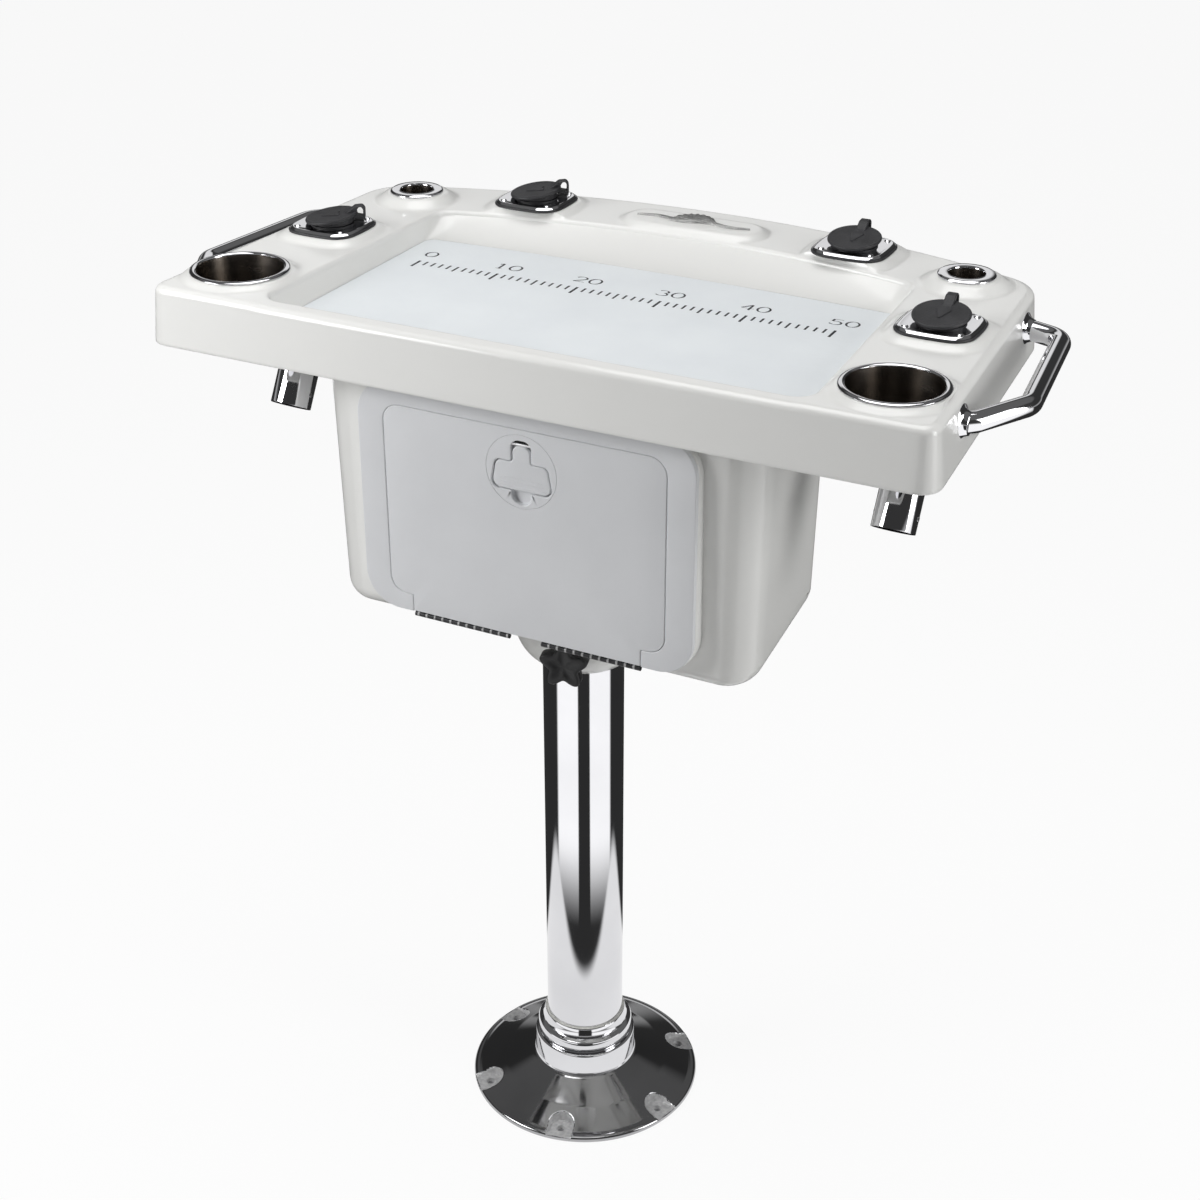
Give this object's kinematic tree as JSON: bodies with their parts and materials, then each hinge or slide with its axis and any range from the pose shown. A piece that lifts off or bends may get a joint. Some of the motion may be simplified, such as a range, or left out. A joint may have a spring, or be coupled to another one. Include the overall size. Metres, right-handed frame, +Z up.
{
  "type": "tackle station",
  "caption": "Boat tackle station: white bait table with cutting board, rod, drink and tool holders over a hatched tackle box, on a swivelling polished pedestal",
  "frame": {"origin": "centre of the underside of the base flange, on the deck; also the centre of the base bolt circle", "axes": "+Z up along the pedestal; -Y towards the person who stands at the hatch; +X to that person's right, along the front of the table"},
  "size_m": [0.9784, 0.522, 1.0563],
  "materials": {
    "gelcoat": "glossy warm white",
    "board": "matte bluish white",
    "hatch_plastic": "matte light grey",
    "polished": "polished stainless",
    "satin": "satin stainless",
    "rubber_black": "matte black",
    "knob_black": "moulded black",
    "nylon": "natural nylon",
    "insert_brass": "plain brass"
  },
  "bodies": {
    "pedestal": {"base_flange": "polished", "base_bush": "nylon", "pedestal_tube": "polished"},
    "head": {"table_socket": "satin", "socket_bush": "nylon", "clamp_insert": "insert_brass", "table_top": "gelcoat", "storage_box": "gelcoat", "box_screws": "satin", "drink_holder_left": "polished", "drink_holder_right": "polished", "tool_holder_left": "satin", "tool_holder_right": "satin", "rod_gasket_left_outer": "rubber_black", "rod_gasket_left_inner": "rubber_black", "rod_gasket_right_inner": "rubber_black", "rod_gasket_right_outer": "rubber_black", "rod_holder_left_outer": "polished", "rod_holder_left_inner": "polished", "rod_holder_right_inner": "polished", "rod_holder_right_outer": "polished", "rod_liner_left_outer": "rubber_black", "rod_liner_left_inner": "rubber_black", "rod_liner_right_inner": "rubber_black", "rod_liner_right_outer": "rubber_black", "gimbal_pins": "satin", "plate_screws": "polished", "handle_left": "polished", "handle_right": "polished", "handle_nuts": "satin", "badge": "polished", "hatch_frame": "hatch_plastic", "hatch_seal": "rubber_black", "hatch_screws": "satin", "hinge_leaf_frame_left": "satin", "hinge_leaf_frame_right": "satin", "hinge_pins": "satin"},
    "clamp": {"clamp_screw": "polished", "clamp_knob": "knob_black"},
    "board": {"cutting_board": "board"},
    "door": {"hatch_door": "hatch_plastic", "hinge_leaf_door_left": "satin", "hinge_leaf_door_right": "satin"},
    "latch": {"latch_disc": "hatch_plastic", "latch_cam": "satin", "latch_nut": "satin", "latch_pull_pin": "satin"},
    "pull": {"latch_pull": "hatch_plastic"},
    "cap_left_outer": {"rod_cap_left_outer": "rubber_black"},
    "cap_left_inner": {"rod_cap_left_inner": "rubber_black"},
    "cap_right_inner": {"rod_cap_right_inner": "rubber_black"},
    "cap_right_outer": {"rod_cap_right_outer": "rubber_black"}
  },
  "joints": [
    {"name": "head_swivel", "type": "hinge", "parent": "pedestal", "child": "head", "pos_m": [0, 0, 0.742], "axis": [0, 0, 1], "continuous": true},
    {"name": "clamp_turn", "type": "hinge", "parent": "head", "child": "clamp", "pos_m": [0.02177, -0.08733, 0.642], "axis": [0.2419, -0.9703, 0], "continuous": true},
    {"name": "board_lift", "type": "slide", "parent": "head", "child": "board", "axis": [0, 0, 1], "range_m": [0, 0.06]},
    {"name": "hatch_hinge", "type": "hinge", "parent": "head", "child": "door", "pos_m": [0, -0.1347, 0.6898], "axis": [1, 0, 0], "range_deg": [0, 170]},
    {"name": "latch_turn", "type": "hinge", "parent": "door", "child": "latch", "pos_m": [0, -0.138, 0.887], "axis": [0, -1, 0], "range_deg": [0, 90]},
    {"name": "pull_lift", "type": "hinge", "parent": "latch", "child": "pull", "pos_m": [0, -0.135, 0.916], "axis": [-1, 0, 0], "range_deg": [0, 85]},
    {"name": "cap_hinge_left_outer", "type": "hinge", "parent": "head", "child": "cap_left_outer", "pos_m": [-0.32939, 0.10025, 1.0411], "axis": [-0.5, 0.866, 0], "range_deg": [0, 105]},
    {"name": "cap_hinge_left_inner", "type": "hinge", "parent": "head", "child": "cap_left_inner", "pos_m": [-0.16739, 0.29025, 1.0411], "axis": [-0.5, 0.866, 0], "range_deg": [0, 105]},
    {"name": "cap_hinge_right_inner", "type": "hinge", "parent": "head", "child": "cap_right_inner", "pos_m": [0.199, 0.3085, 1.0411], "axis": [-1, 0, 0], "range_deg": [0, 118]},
    {"name": "cap_hinge_right_outer", "type": "hinge", "parent": "head", "child": "cap_right_outer", "pos_m": [0.361, 0.1185, 1.0411], "axis": [-1, 0, 0], "range_deg": [0, 118]}
  ]
}
